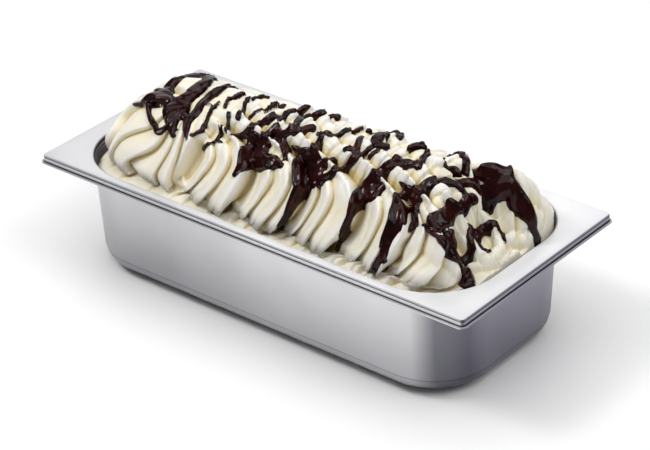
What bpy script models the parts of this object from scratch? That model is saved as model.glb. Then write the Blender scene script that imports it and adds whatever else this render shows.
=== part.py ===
"""A stainless steel gelato pan heaped with piped vanilla gelato under a chocolate drizzle.

The origin is the centre of the pan's underside. X runs along the pan, -Y is the side that is
served from and Z is up. Sizes are in millimetres until MM turns them into metres.
"""

import math

import bmesh
import bpy
import numpy as np

MM = 0.001

# Pan
PAN_LENGTH = 360.0
PAN_WIDTH = 165.0
PAN_HEIGHT = 82.0
SHEET = 0.9
LIP_WIDTH = 1.6
LIP_DROP = 5.2
LIP_CORNER = 4.5
PLATE_BEND = 0.9
END_FLANGE = 18.0
SIDE_FLANGE = 9.4
OPENING_CORNER = 45.5
RIM_RADIUS = 2.6
RIM_STEPS = 3
WALL_SLOPE = 0.05
LEDGE_HEIGHT = 14.0
LEDGE_INSET = 0.5
BOTTOM_RADIUS = 18.0
BOTTOM_STEPS = 5
CORNER_STEPS = 9

# Filling below the rim
CLEARANCE = 0.3
FILL_DROP = 13.0

# Mound of gelato above the rim
SPINE_HALF = 96.0
END_SWEEP = 2 * SPINE_HALF / math.pi
WALL_GAP = 1.4
MOUND_FOOT = 22.0
FOOT_INSET = 6.0
MOUND_COLUMNS = 560
MOUND_ROWS = 110
REMESH_SIZE = 1.1
MOUND_TRIANGLES = 9700

# Ropes of gelato
ROPE_RIDGES = 3
ROPE_HEIGHT = 7.0
RIDGE_HEIGHT = 4.6
CREST_PITCH = 8.5
CREST_RIDGE_HEIGHT = 2.0
FOLD_HEIGHT = 1.3
FIN_HEIGHT = 4.5
HOLLOW_DEPTH = 5.0

# Swirl of gelato at the left end, and how far the mound ends from the wall at each end
SWIRL_X = -84.0
SWIRL_Y = -20.0
SWIRL_PETALS = 18
SWIRL_TWIST = 13.0
SWIRL_BROAD = 2.5
SWIRL_NARROW = 4.5
LEFT_GAP = 2.5
RIGHT_FILL = 9.0


def smooth_step(start, end, value):
    """0 at start, 1 at end and smooth between them."""
    t = np.clip((value - start) / (end - start), 0.0, 1.0)
    return t * t * (3.0 - 2.0 * t)


def fraction(value):
    return value - np.floor(value)


def rounded_rectangle(half_length, half_width, corner, steps):
    """Points of a rounded rectangle, counter-clockwise."""
    points = []
    for quarter, (side_x, side_y) in enumerate(((1, 1), (-1, 1), (-1, -1), (1, -1))):
        for step in range(steps + 1):
            angle = math.pi / 2 * (quarter + step / steps)
            x = side_x * (half_length - corner) + corner * math.cos(angle)
            y = side_y * (half_width - corner) + corner * math.sin(angle)
            points.append((x, y))
    return points


def opening_size(height, inset=0.0):
    """Half length, half width and corner radius inside the wall at a height."""
    shift = WALL_SLOPE * (PAN_HEIGHT - RIM_RADIUS - height) + inset
    half_length = PAN_LENGTH / 2 - END_FLANGE - shift
    half_width = PAN_WIDTH / 2 - SIDE_FLANGE - shift
    return half_length, half_width, OPENING_CORNER - shift


def wall_sections(clearance):
    """Rings from the straight wall down to the floor, set in by a clearance."""
    rings = []
    for height, inset in ((LEDGE_HEIGHT + 1.2, 0.0), (LEDGE_HEIGHT, LEDGE_INSET)):
        size = opening_size(height, inset + clearance)
        rings.append((*size, height))
    half_length, half_width, corner = opening_size(LEDGE_HEIGHT, LEDGE_INSET + clearance)
    floor = SHEET + clearance
    for step in range(1, BOTTOM_STEPS + 1):
        angle = math.pi / 2 * step / BOTTOM_STEPS
        inset = BOTTOM_RADIUS * (1 - math.cos(angle))
        height = floor + (LEDGE_HEIGHT - floor) * (1 - math.sin(angle))
        rings.append((half_length - inset, half_width - inset, corner - inset, height))
    return rings


def pan_sections():
    """Rings of the sheet's upper face from the lip over the rim to the floor."""
    half_length = PAN_LENGTH / 2
    half_width = PAN_WIDTH / 2
    top = PAN_HEIGHT
    rings = []
    edge = (
        (0.0, LIP_DROP),
        (LIP_WIDTH - 0.4, LIP_DROP - 0.1),
        (LIP_WIDTH, LIP_DROP - 0.6),
        (LIP_WIDTH, PLATE_BEND),
        (LIP_WIDTH + 0.3 * PLATE_BEND, 0.3 * PLATE_BEND),
        (LIP_WIDTH + PLATE_BEND, 0.0),
    )
    for inset, drop in edge:
        rings.append((half_length - inset, half_width - inset, LIP_CORNER - inset, top - drop))
    opening = opening_size(top - RIM_RADIUS)
    for step in range(RIM_STEPS + 1):
        angle = math.pi / 2 * step / RIM_STEPS
        out = RIM_RADIUS * (1 - math.sin(angle))
        drop = RIM_RADIUS * (1 - math.cos(angle))
        rings.append((opening[0] + out, opening[1] + out, opening[2] + out, top - drop))
    return rings + wall_sections(0.0)


def ring_loft(name, sections, closed_top):
    """A skin over rounded rectangles with a face at the last one, and at the first if closed_top."""
    mesh = bmesh.new()
    rings = []
    for half_length, half_width, corner, height in sections:
        outline = rounded_rectangle(half_length, half_width, corner, CORNER_STEPS)
        rings.append([mesh.verts.new((x * MM, y * MM, height * MM)) for x, y in outline])
    count = len(rings[0])
    for upper, lower in zip(rings, rings[1:]):
        for i in range(count):
            j = (i + 1) % count
            mesh.faces.new((upper[i], lower[i], lower[j], upper[j]))
    mesh.faces.new(tuple(reversed(rings[-1])))
    if closed_top:
        mesh.faces.new(rings[0])
    data = bpy.data.meshes.new(name)
    mesh.to_mesh(data)
    mesh.free()
    return bpy.data.objects.new(name, data)


# Distance out from the spine, and height, as shares of the whole, from the spine to the wall
NEAR_PATH = (
    (0.0, 1.0), (0.15, 1.02), (0.30, 0.99), (0.44, 0.90), (0.55, 0.76), (0.64, 0.58), (0.715, 0.41),
    (0.785, 0.26), (0.83, 0.12), (0.82, 0.02), (0.80, -0.06), (0.85, -0.12), (0.94, -0.17), (0.985, -0.26),
)
FAR_PATH = (
    (0.0, 1.0), (0.11, 0.93), (0.22, 0.81), (0.34, 0.67), (0.46, 0.53), (0.58, 0.40), (0.69, 0.28),
    (0.79, 0.18), (0.87, 0.09), (0.92, 0.02), (0.94, -0.04), (0.95, -0.11), (0.965, -0.18), (0.985, -0.26),
)
END_PATH = (
    (0.0, 1.0), (0.15, 0.99), (0.30, 0.96), (0.45, 0.90), (0.58, 0.81), (0.69, 0.69), (0.78, 0.55),
    (0.86, 0.40), (0.90, 0.25), (0.91, 0.11), (0.90, -0.01), (0.90, -0.13), (0.925, -0.21), (0.96, -0.26),
)
APRON_PATH = (
    (0.0, 1.0), (0.13, 0.98), (0.26, 0.91), (0.38, 0.79), (0.49, 0.63), (0.58, 0.46), (0.66, 0.31),
    (0.74, 0.20), (0.81, 0.11), (0.88, 0.05), (0.94, 0.01), (0.975, -0.04), (0.985, -0.12), (0.985, -0.26),
)
# Height of the mound over the rim along the pan
CREST = (
    (-165, 38), (-130, 40), (-100, 42), (-60, 44), (-25, 48),
    (0, 50), (60, 52), (110, 51), (140, 50), (165, 47),
)
# Where each rope's raised edge crosses the near shoulder
ROPE_EDGES = (-65, -20, 25, 69, 113, 150, 190, 235, 280, 325, 370, 415, 460)
# How far along the pan a rope has moved at even shares of the way out, near and far
NEAR_SWING = (-142, -105, -66, -33, -10, 0, 1, -1, -5, -10, -14, -17, -20, -22)
FAR_SWING = (-142, -162, -182, -201, -218, -231, -240, -246, -250, -253, -255, -256, -257, -258)

# Chocolate runs: (x, unrolled y, width) along each
RUNS = (
    ((-104, 11, 3), (-107, 9, 4), (-108, 6, 4), (-110, 4, 4), (-111, -1, 5), (-112, -4, 6),
     (-109, -9, 9)),
    ((-109, -9, 9), (-107, -13, 13), (-109, -15, 9), (-111, -16, 4), (-108, -20, 3), (-106, -22, 3)),
    ((-111, -16, 3), (-114, -17, 2), (-119, -17, 2)),
    ((-106, -22, 3), (-103, -24, 4), (-100, -26, 4), (-98, -27, 5), (-96, -25, 3), (-94, -23, 4)),
    ((-104, 11, 5), (-102, 6, 6), (-99, 1, 6), (-97, -5, 8), (-97, -10, 8), (-98, -13, 10),
     (-97, -17, 11)),
    ((-97, -17, 11), (-95, -20, 11), (-91, -24, 8), (-87, -27, 2)),
    ((-90, 13, 5), (-88, 6, 6), (-88, 1, 7), (-88, -3, 6), (-87, -6, 6), (-86, -10, 7), (-84, -13, 8)),
    ((-84, -13, 8), (-84, -16, 8), (-83, -20, 7), (-79, -23, 6), (-75, -26, 2)),
    ((-93, -11, 2), (-93, -14, 7), (-92, -17, 8), (-86, -18, 7)),
    ((-87, -6, 2), (-83, -8, 2), (-77, -9, 2), (-74, -10, 3), (-72, -13, 3), (-70, -16, 3),
     (-69, -21, 3), (-73, -24, 3)),
    ((-64, 0, 3), (-69, -3, 3)),
    ((-48, 3, 3), (-51, -3, 3)),
    ((-56, -3, 3), (-51, -8, 3), (-48, -13, 4)),
    ((-72, -3, 2), (-67, -8, 3)),
    ((-75, -6, 2), (-73, -10, 3)),
    ((-57, -12, 3), (-50, -19, 3)),
    ((-56, -17, 3), (-55, -23, 3), (-60, -25, 3), (-64, -27, 5)),
    ((-55, -23, 3), (-50, -23, 2)),
    ((-43, -10, 3), (-39, -6, 2), (-37, -2, 2), (-34, 4, 2)),
    ((-22, -8, 6), (-26, -11, 7), (-32, -12, 6), (-34, -16, 7), (-41, -18, 5)),
    ((-19, -5, 5), (-18, -9, 5)),
    ((-17, -4, 3), (-15, -1, 5), (-14, 3, 3)),
    ((3, 0, 6), (6, 4, 8), (10, 4, 5)),
    ((4, -1, 6), (-3, -2, 11), (-8, -3, 9), (-6, -7, 8), (-4, -11, 7)),
    ((8, -8, 5), (0, -12, 9), (-6, -14, 7), (-12, -16, 5)),
    ((-45, -19, 4), (-37, -17, 6), (-31, -18, 8), (-24, -19, 10), (-17, -19, 8)),
    ((-31, -19, 7), (-26, -25, 10), (-24, -29, 8), (-27, -33, 3)),
    ((-24, -27, 10), (-14, -26, 15), (-5, -25, 12), (4, -25, 5)),
    ((4, -22, 5), (-2, -18, 6), (-9, -15, 6), (-17, -12, 6), (-20, -16, 8), (-18, -24, 12)),
    ((3, -17, 3), (10, -18, 8), (16, -19, 12), (23, -19, 14), (28, -23, 16), (30, -26, 12)),
    ((21, -12, 5), (22, -17, 8)),
    ((37, -17, 5), (32, -20, 7), (28, -24, 9)),
    ((54, -15, 3), (49, -18, 5), (43, -22, 7), (36, -26, 8), (30, -26, 9)),
    ((12, -20, 7), (16, -24, 7), (21, -28, 8)),
    ((27, -27, 12), (24, -32, 8), (22, -39, 4), (16, -48, 4), (11, -56, 4)),
    ((16, -10, 4), (20, -9, 5), (24, -10, 4), (30, -7, 4), (33, -4, 3), (37, 0, 2)),
    ((46, -7, 5), (49, -12, 6), (43, -13, 5)),
    ((41, 0, 4), (44, 5, 8), (52, 7, 10), (60, 5, 7), (63, 3, 4)),
    ((53, 1, 9), (54, -4, 9), (56, -6, 8), (64, -5, 5)),
    ((52, -12, 4), (50, -17, 5), (46, -20, 5)),
    ((58, -8, 3), (54, -14, 4)),
    ((64, -9, 3), (61, -12, 4)),
    ((81, -11, 7), (76, -15, 9), (72, -19, 12), (70, -22, 16), (69, -27, 10), (68, -33, 4),
     (62, -50, 4), (60, -56, 3)),
    ((80, -20, 5), (77, -24, 9), (72, -26, 8)),
    ((77, -9, 5), (83, -10, 10), (88, -9, 9), (96, -10, 4)),
    ((79, -3, 4), (84, 1, 7), (90, 3, 4)),
    ((90, 0, 5), (92, -4, 6), (95, -9, 5)),
    ((97, 8, 3), (102, 5, 5), (108, 2, 3)),
    ((103, -3, 5), (106, 0, 5)),
    ((105, -9, 3), (103, -13, 5), (102, -17, 7), (98, -19, 6), (94, -22, 4)),
    ((105, -10, 3), (108, -7, 6), (112, -6, 3)),
    ((112, 3, 3), (111, 0, 4), (109, -4, 3)),
    ((91, -17, 2), (97, -18, 6), (101, -20, 6), (103, -23, 4), (106, -27, 4), (107, -31, 3)),
    ((94, -22, 5), (98, -25, 8), (100, -29, 9), (99, -35, 6), (100, -42, 5), (96, -47, 4),
     (92, -53, 3)),
    ((116, -2, 4), (115, -6, 6)),
    ((115, -6, 5), (117, -10, 5), (117, -15, 7), (115, -20, 8), (113, -24, 7), (114, -28, 5)),
    ((111, 5, 6), (113, 8, 14), (116, 9, 16), (119, 9, 12), (118, 4, 12), (114, 2, 8)),
    ((121, 10, 8), (126, 10, 10), (131, 12, 10), (134, 13, 8), (139, 14, 6), (143, 16, 7),
     (149, 19, 10), (156, 21, 7)),
    ((127, -5, 3), (129, -3, 4), (131, 1, 4), (134, 2, 4), (139, -1, 3)),
    ((127, -5, 4), (127, -8, 5), (131, -14, 4), (137, -16, 6), (139, -13, 5)),
    ((127, -6, 3), (125, -11, 4), (130, -18, 4), (133, -20, 5), (132, -26, 6)),
    ((111, -27, 3), (115, -30, 4), (118, -30, 4), (121, -31, 4), (126, -33, 5), (129, -31, 8)),
    ((120, -24, 7), (122, -30, 10), (127, -31, 14), (132, -30, 15), (137, -30, 13), (143, -33, 10)),
    ((143, -33, 10), (148, -39, 13), (154, -38, 8)),
)
RUN_HEIGHT = 2.0
ACROSS_STRETCH = 2.0

# Hump, curl, rolls and folds at the right end: rise, then (x, y, width) along each
ROLLS = (
    (3, ((123, 18, 8), (131, 20, 24), (138, 23, 20))),
    (6, ((125, 12, 5), (131, 17, 8), (138, 22, 8))),
    (4, ((129, 3, 4), (134, 8, 6), (141, 13, 7), (148, 18, 5))),
    (12, ((138, 25, 8), (144, 29, 17), (150, 34, 12))),
    (7, ((140, 42, 12), (150, 40, 15), (158, 35, 8))),
    (8, ((137, -20, 7), (144, -24, 9), (151, -25, 9), (155, -18, 9), (154, -8, 8), (149, -2, 8),
         (142, 0, 7), (137, -4, 6))),
    (7, ((139, 10, 7), (142, 17, 9), (147, 21, 9), (154, 22, 7))),
    (6, ((143, 4, 6), (146, 11, 8), (151, 15, 8), (158, 16, 6))),
    (6, ((150, 1, 6), (152, 8, 7), (156, 12, 6))),
    (4, ((150, -34, 4), (156, -22, 5), (158, -12, 5), (159, 2, 5))),
    (8, ((124, -26, 7), (131, -24, 9), (136, -24, 9), (141, -27, 6))),
    (6, ((113, -56, 6), (117, -52, 7), (124, -50, 8), (132, -49, 9), (138, -47, 8), (143, -46, 6),
         (147, -46, 4))),
)


def table(rows, value):
    rows = np.array(rows, float)
    return np.interp(value, rows[:, 0], rows[:, 1])


def smooth_path(path, share):
    """A smooth curve through evenly spaced points, read at shares from 0 to 1."""
    points = np.array(path, float)
    last = len(points) - 1
    place = np.clip(share, 0.0, 1.0) * last
    index = np.clip(np.floor(place).astype(int), 0, last - 1)
    t = (place - index).reshape(place.shape + (1,) * (points.ndim - 1))
    before = points[np.maximum(index - 1, 0)]
    start = points[index]
    end = points[index + 1]
    after = points[np.minimum(index + 2, last)]
    linear = end - before
    square = 2 * before - 5 * start + 4 * end - after
    cube = 3 * start - before - 3 * end + after
    return start + 0.5 * t * (linear + t * (square + t * cube))


def spine_rays(share):
    """Start on the spine and direction of a ray at each share of the way round the mound."""
    straight = 2 * SPINE_HALF
    sweep = math.pi * END_SWEEP
    along = share * 2 * (straight + sweep)
    second = along - straight - sweep
    back = second >= 0
    local = np.where(back, second, along)
    turning = local > straight
    angle = np.where(turning, (local - straight) / END_SWEEP, 0.0) - math.pi / 2
    start = np.minimum(local, straight) - SPINE_HALF
    flip = np.where(back, -1.0, 1.0)
    return flip * start, flip * np.cos(angle), flip * np.sin(angle)


def wall_distance(x, y, gap):
    """Distance out of the opening's outline, set in by a gap, and the outward direction there."""
    half_length, half_width, corner = opening_size(PAN_HEIGHT - RIM_RADIUS, gap)
    over_x = np.abs(x) - (half_length - corner)
    over_y = np.abs(y) - (half_width - corner)
    in_corner = (over_x > 0) & (over_y > 0)
    length = np.maximum(np.hypot(over_x, over_y), 1e-6)
    distance = np.where(in_corner, length, np.maximum(over_x, over_y)) - corner
    end_on = over_x > over_y
    out_x = np.where(in_corner, over_x / length, end_on * 1.0) * np.sign(x)
    out_y = np.where(in_corner, over_y / length, ~end_on * 1.0) * np.sign(y)
    return distance, out_x, out_y


def ray_reach(start, ray_x, ray_y):
    """Distance along each ray from the spine to the wall."""
    low = np.zeros_like(start)
    high = np.full_like(start, PAN_LENGTH)
    for _ in range(24):
        middle = (low + high) / 2
        inside = wall_distance(start + ray_x * middle, ray_y * middle, 0.0)[0] < 0
        low = np.where(inside, middle, low)
        high = np.where(inside, high, middle)
    return low


def scale_shape(phase, edge):
    """A rounded rise that breaks off sharply after the edge."""
    rise = 1 - (1 - np.minimum(phase / edge, 1)) ** 2.4
    return rise * (1 - smooth_step(edge, 1.0, phase))


def bell(value, middle, width):
    return np.exp(-(((value - middle) / width) ** 2))


def right_front(ray_x, ray_y):
    """1 on the low apron at the right end, fading out towards the near side and the back."""
    return smooth_step(-0.85, -0.55, ray_y) * (1 - smooth_step(0.12, 0.42, ray_y)) * (ray_x > 0)


def rope_place(x, share, ray_y, wobble):
    """How many ropes lie before a place, with the part of its own rope."""
    across = share * np.abs(ray_y)
    swing = np.where(ray_y < 0, smooth_path(NEAR_SWING, across), smooth_path(FAR_SWING, across))
    return np.interp(x - swing + wobble, ROPE_EDGES, np.arange(len(ROPE_EDGES)))


def swirl_ridges(x, y, above_rim, swell, wobble):
    """Heights of the broad and the narrow ridges that fan out from the swirl."""
    from_swirl = np.hypot(x - SWIRL_X, y - SWIRL_Y)
    turn = np.arctan2(y - SWIRL_Y, x - SWIRL_X) / (2 * math.pi)
    petal = SWIRL_PETALS * turn + from_swirl / SWIRL_TWIST * smooth_step(-15, 25, y) + 0.15 * wobble
    grown = smooth_step(6, 34, from_swirl)
    broad = SWIRL_BROAD * above_rim * grown * scale_shape(fraction(petal / 2), 0.92)
    narrow = SWIRL_NARROW * (0.30 + 0.70 * above_rim) * grown * scale_shape(fraction(petal), 0.90) * swell
    return broad, narrow


def relief(x, y, share, ray_y, near, apron):
    """Height of the piped ridges over the plain mound, and their lean along the pan and downwards."""
    wobble = 1.5 * np.sin(0.11 * x + 0.07 * y) + 1.2 * np.sin(0.19 * y + 1.0)
    rope = rope_place(x, share, ray_y, wobble)
    in_rope = fraction(rope)
    swirl_line = ROPE_EDGES[0] + 0.62 * (y + 45) + 6 * np.sin(0.05 * y)
    left = smooth_step(3.5, -3.5, x + wobble - swirl_line)
    on_side = smooth_step(0.25, 0.40, share)
    side_near = on_side * near
    above_rim = smooth_step(0.90, 0.76, share)
    swell = 1 + 0.35 * bell(share, 0.55, 0.10) * near
    calm = apron * smooth_step(0.15, 0.45, share)
    calm = np.maximum(calm, 0.85 * smooth_step(120, 136, x) * smooth_step(-42, -28, y))
    lumps = np.sin(0.17 * x + 0.11 * y + 0.6) * np.sin(0.15 * y - 0.08 * x + 1.9) * above_rim
    ripple = 1 + 0.25 * np.sin(0.26 * x - 0.10 * y) * (1 - on_side)
    edge = (ROPE_HEIGHT + 4.5 * side_near) * above_rim * scale_shape(in_rope, 0.89) * ripple
    frill_phase = fraction((x - 0.35 * y) / CREST_PITCH + 0.37 * np.floor(rope))
    frill = CREST_RIDGE_HEIGHT * (1 - on_side) * (1 - left) * (1 - calm) * scale_shape(frill_phase, 0.78)
    ridge_phase = fraction(rope * ROPE_RIDGES + 0.3 * np.sin(math.pi * rope))
    ridge = (RIDGE_HEIGHT * on_side + 0.5) * (0.30 + 0.70 * above_rim) * swell
    ridge *= scale_shape(ridge_phase, 0.86)
    left_edge, left_ridge = swirl_ridges(x, y, above_rim, swell, wobble)
    edge = (edge + (left_edge - edge) * left) * (1 - 0.9 * calm)
    ridge = (ridge + (left_ridge - ridge) * left) * (1 - 0.9 * calm)
    sunk = (7.0 + 2.0 * side_near - (3.5 + 3.5 * side_near) * left) * (1 - 0.6 * calm)
    fins = FIN_HEIGHT * bell(share, 0.865, 0.06) * near * smooth_step(20, 70, x)
    fins = fins * scale_shape(fraction(rope * 3 + 0.4), 0.8)
    behind = bell(share, 0.275, 0.055) * near * (1 - smooth_step(0.66, 0.86, in_rope)) * (1 - apron)
    hollow = HOLLOW_DEPTH * behind * (1 - left) * smooth_step(122, 114, x)
    fold_phase = fraction(share * 5.2 + 0.012 * y + 0.3 * np.sin(0.09 * y))
    folds = FOLD_HEIGHT * calm * above_rim * scale_shape(fold_phase, 0.8)
    raised = edge + ridge + frill + folds + fins + lumps - hollow - sunk * above_rim
    lean = (0.32 * edge + 0.28 * ridge + 0.25 * frill) * above_rim
    droop = 0.5 * ridge * bell(share, 0.56, 0.09) * near
    return raised, lean, droop


def run_depth(x, y, run, stretch):
    """How far inside a run a place is: 1 on its middle line, 0 at its edge and less outside."""
    depth = np.full_like(x, -1.0)
    for (x0, y0, w0), (x1, y1, w1) in zip(run, run[1:]):
        step_x = x1 - x0
        step_y = (y1 - y0) * stretch
        off_x = x - x0
        off_y = (y - y0) * stretch
        along = np.clip((off_x * step_x + off_y * step_y) / (step_x**2 + step_y**2), 0.0, 1.0)
        distance = np.hypot(off_x - along * step_x, off_y - along * step_y)
        half = (w0 + (w1 - w0) * along) / 2
        depth = np.maximum(depth, 1 - distance / half)
    return depth


def run_cover(x, y):
    """How far inside the chocolate an unrolled place is."""
    cover = np.full_like(x, -1.0)
    for run in RUNS:
        cover = np.maximum(cover, run_depth(x, y, run, ACROSS_STRETCH))
    return cover


def features(x, y):
    """Height of the hump, the curl and the rolls at a place."""
    height = np.zeros_like(x)
    for rise, run in ROLLS:
        depth = np.clip(run_depth(x, y, run, 1.0), 0.0, 1.0)
        height = np.maximum(height, rise * np.sqrt(depth * (2 - depth)))
    return height


def mound_grid(columns, rows):
    """Points of the mound's skin, from the spine outwards in rows, and their unrolled places."""
    share_round, share_out = np.meshgrid(
        np.arange(columns) / columns, np.linspace(0.0, 1.0, rows), indexing="ij"
    )
    start, ray_x, ray_y = spine_rays(share_round)
    reach = ray_reach(start, ray_x, ray_y)
    near = smooth_step(0.25, -0.35, ray_y)
    path = smooth_path(NEAR_PATH, share_out) * near[..., None]
    path += smooth_path(FAR_PATH, share_out) * (1 - near[..., None])
    end_on = (ray_x**2)[..., None]
    path += (smooth_path(END_PATH, share_out) - path) * end_on
    apron = right_front(ray_x, ray_y)
    path += (smooth_path(APRON_PATH, share_out) - path) * apron[..., None]
    flat_x = start + ray_x * share_out * reach
    flat_y = ray_y * share_out * reach
    far_right = smooth_step(0.1, 0.5, ray_y) * np.maximum(ray_x, 0.0)
    out = path[..., 0] * (reach - LEFT_GAP * np.minimum(ray_x, 0.0) ** 2 + RIGHT_FILL * far_right)
    rise = PAN_HEIGHT + path[..., 1] * table(CREST, flat_x)
    plain = np.stack([start + ray_x * out, ray_y * out, rise], -1)
    outward = np.gradient(plain, axis=1)
    around = np.roll(plain, -1, 0) - np.roll(plain, 1, 0)
    normal = np.cross(outward, around)
    normal /= np.maximum(np.linalg.norm(normal, axis=-1, keepdims=True), 1e-9)
    normal[:, 0] = (0.0, 0.0, 1.0)
    raised, lean, droop = relief(plain[..., 0], plain[..., 1], share_out, ray_y, near, apron)
    cover = run_cover(flat_x, flat_y)
    raised = raised + RUN_HEIGHT * smooth_step(0.0, 0.6, cover)
    points = plain + normal * raised[..., None]
    points[..., 0] += lean
    points[..., 2] += features(plain[..., 0], plain[..., 1]) * smooth_step(0.99, 0.95, share_out) - droop
    over, out_x, out_y = wall_distance(points[..., 0], points[..., 1], WALL_GAP)
    over = np.maximum(over, 0.0)
    points[..., 0] -= out_x * over
    points[..., 1] -= out_y * over
    return points, cover


def skin_mesh(name, points):
    """A closed body from rings of points: the first ring is drawn to the spine, a foot closes the last."""
    columns, rows = points.shape[:2]
    foot = points[:, -1].copy()
    foot[:, 2] = PAN_HEIGHT - MOUND_FOOT
    over, out_x, out_y = wall_distance(foot[:, 0], foot[:, 1], FOOT_INSET)
    over = np.maximum(over, 0.0)
    foot[:, 0] -= out_x * over
    foot[:, 1] -= out_y * over
    verts = np.concatenate([points.transpose(1, 0, 2).reshape(-1, 3), foot]) * MM
    faces = []
    for row in range(rows):
        for column in range(columns):
            beside = (column + 1) % columns
            a = row * columns
            b = a + columns
            faces.append((a + column, b + column, b + beside, a + beside))
    faces.append(tuple(rows * columns + i for i in reversed(range(columns))))
    data = bpy.data.meshes.new(name)
    data.from_pydata(verts.tolist(), [], faces)
    mesh = bmesh.new()
    mesh.from_mesh(data)
    bmesh.ops.remove_doubles(mesh, verts=mesh.verts, dist=0.01 * MM)
    mesh.to_mesh(data)
    mesh.free()
    return bpy.data.objects.new(name, data)


def add(collection, name, data_object, color, roughness, metallic):
    """Name an object, give it its own material and put it in a collection."""
    data_object.name = name
    data_object.data.name = name
    material = bpy.data.materials.new(name)
    material.use_nodes = True
    shader = material.node_tree.nodes["Principled BSDF"]
    shader.inputs["Base Color"].default_value = (*color, 1.0)
    shader.inputs["Roughness"].default_value = roughness
    shader.inputs["Metallic"].default_value = metallic
    data_object.data.materials.clear()
    data_object.data.materials.append(material)
    collection.objects.link(data_object)
    return data_object


def applied(data_object):
    """A new object from a linked object's modified mesh, with the first removed."""
    graph = bpy.context.evaluated_depsgraph_get()
    data = bpy.data.meshes.new_from_object(data_object.evaluated_get(graph))
    bpy.data.objects.remove(data_object)
    return bpy.data.objects.new("shape", data)


def largest_body(data_object):
    """Leave only the largest of an object's separate shells, so hollows are filled and scrap is dropped."""
    mesh = bmesh.new()
    mesh.from_mesh(data_object.data)
    unseen = set(mesh.verts)
    bodies = []
    while unseen:
        body = {unseen.pop()}
        edge_of_body = list(body)
        while edge_of_body:
            vert = edge_of_body.pop()
            for edge in vert.link_edges:
                other = edge.other_vert(vert)
                if other in unseen:
                    unseen.remove(other)
                    body.add(other)
                    edge_of_body.append(other)
        bodies.append(body)
    bodies.sort(key=len)
    for body in bodies[:-1]:
        bmesh.ops.delete(mesh, geom=list(body), context="VERTS")
    mesh.to_mesh(data_object.data)
    mesh.free()
    return data_object


def make_pan():
    """The sheet's upper face given its thickness below."""
    sheet = ring_loft("sheet", pan_sections(), False)
    bpy.context.scene.collection.objects.link(sheet)
    solidify = sheet.modifiers.new("thickness", "SOLIDIFY")
    solidify.thickness = SHEET * MM
    solidify.offset = 1.0
    solidify.use_even_offset = True
    return applied(sheet)


def make_mound():
    """The piped mound as one body of even facets, thinned where it is flat."""
    points = mound_grid(MOUND_COLUMNS, MOUND_ROWS)[0]
    mound = skin_mesh("mound", points)
    bpy.context.scene.collection.objects.link(mound)
    remesh = mound.modifiers.new("body", "REMESH")
    remesh.mode = "VOXEL"
    remesh.voxel_size = REMESH_SIZE * MM
    solid = applied(mound)
    bpy.context.scene.collection.objects.link(solid)
    triangles = sum(len(face.vertices) - 2 for face in solid.data.polygons)
    thin = solid.modifiers.new("thin", "DECIMATE")
    thin.ratio = MOUND_TRIANGLES / triangles
    return applied(solid)


def make_gelato():
    """The filling inside the pan joined to the mound."""
    top = PAN_HEIGHT - FILL_DROP
    sections = [(*opening_size(top, CLEARANCE), top)] + wall_sections(CLEARANCE)
    filling = ring_loft("filling", sections, True)
    mound = make_mound()
    pieces = bpy.data.collections.new("pieces")
    pieces.hide_render = True
    bpy.context.scene.collection.children.link(pieces)
    pieces.objects.link(mound)
    mound.display_type = "WIRE"
    bpy.context.scene.collection.objects.link(filling)
    union = filling.modifiers.new("join", "BOOLEAN")
    union.operation = "UNION"
    union.operand_type = "COLLECTION"
    union.collection = pieces
    union.solver = "EXACT"
    joined = applied(filling)
    bpy.data.objects.remove(mound)
    bpy.data.collections.remove(pieces)
    return largest_body(joined)


def main():
    for old in list(bpy.data.objects):
        bpy.data.objects.remove(old)
    gelato_pan = bpy.data.collections.new("gelato_pan")
    bpy.context.scene.collection.children.link(gelato_pan)
    add(gelato_pan, "pan", make_pan(), (0.62, 0.63, 0.65), 0.3, 1.0)
    add(gelato_pan, "gelato", make_gelato(), (0.90, 0.87, 0.75), 0.4, 0.0)


main()
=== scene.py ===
"""Looks of a steel pan heaped with piped vanilla gelato under a chocolate drizzle."""

import math

import bmesh
import bpy
import numpy as np
from mathutils import Matrix, Vector


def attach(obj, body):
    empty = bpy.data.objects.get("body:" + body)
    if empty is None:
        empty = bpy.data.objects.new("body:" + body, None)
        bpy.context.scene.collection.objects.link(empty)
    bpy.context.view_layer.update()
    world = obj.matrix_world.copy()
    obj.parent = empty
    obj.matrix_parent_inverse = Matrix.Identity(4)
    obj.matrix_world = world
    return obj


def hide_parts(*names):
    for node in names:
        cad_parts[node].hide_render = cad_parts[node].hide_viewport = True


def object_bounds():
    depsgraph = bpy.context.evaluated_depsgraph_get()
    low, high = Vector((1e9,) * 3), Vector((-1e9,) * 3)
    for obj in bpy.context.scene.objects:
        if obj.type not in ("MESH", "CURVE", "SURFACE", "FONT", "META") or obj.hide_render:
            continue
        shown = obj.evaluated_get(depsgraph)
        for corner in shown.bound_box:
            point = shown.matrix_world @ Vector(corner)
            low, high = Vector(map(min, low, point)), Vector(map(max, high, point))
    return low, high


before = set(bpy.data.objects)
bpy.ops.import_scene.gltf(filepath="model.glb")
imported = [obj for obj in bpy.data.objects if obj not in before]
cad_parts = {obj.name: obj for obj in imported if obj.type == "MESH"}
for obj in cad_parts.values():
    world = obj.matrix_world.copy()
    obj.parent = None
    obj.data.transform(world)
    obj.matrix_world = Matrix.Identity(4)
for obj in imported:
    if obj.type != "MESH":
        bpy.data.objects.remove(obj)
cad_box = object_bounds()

MM = 0.001

# Pan
PAN_LENGTH = 360.0
PAN_WIDTH = 165.0
PAN_HEIGHT = 82.0
SHEET = 0.9
LIP_WIDTH = 1.6
LIP_DROP = 5.2
LIP_CORNER = 4.5
# Bend between the lip and the turned edge: its width, its rise at the start and its whole rise
LIP_BEND = 0.4
LIP_BEND_START = 0.1
LIP_BEND_RISE = 0.6
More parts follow.
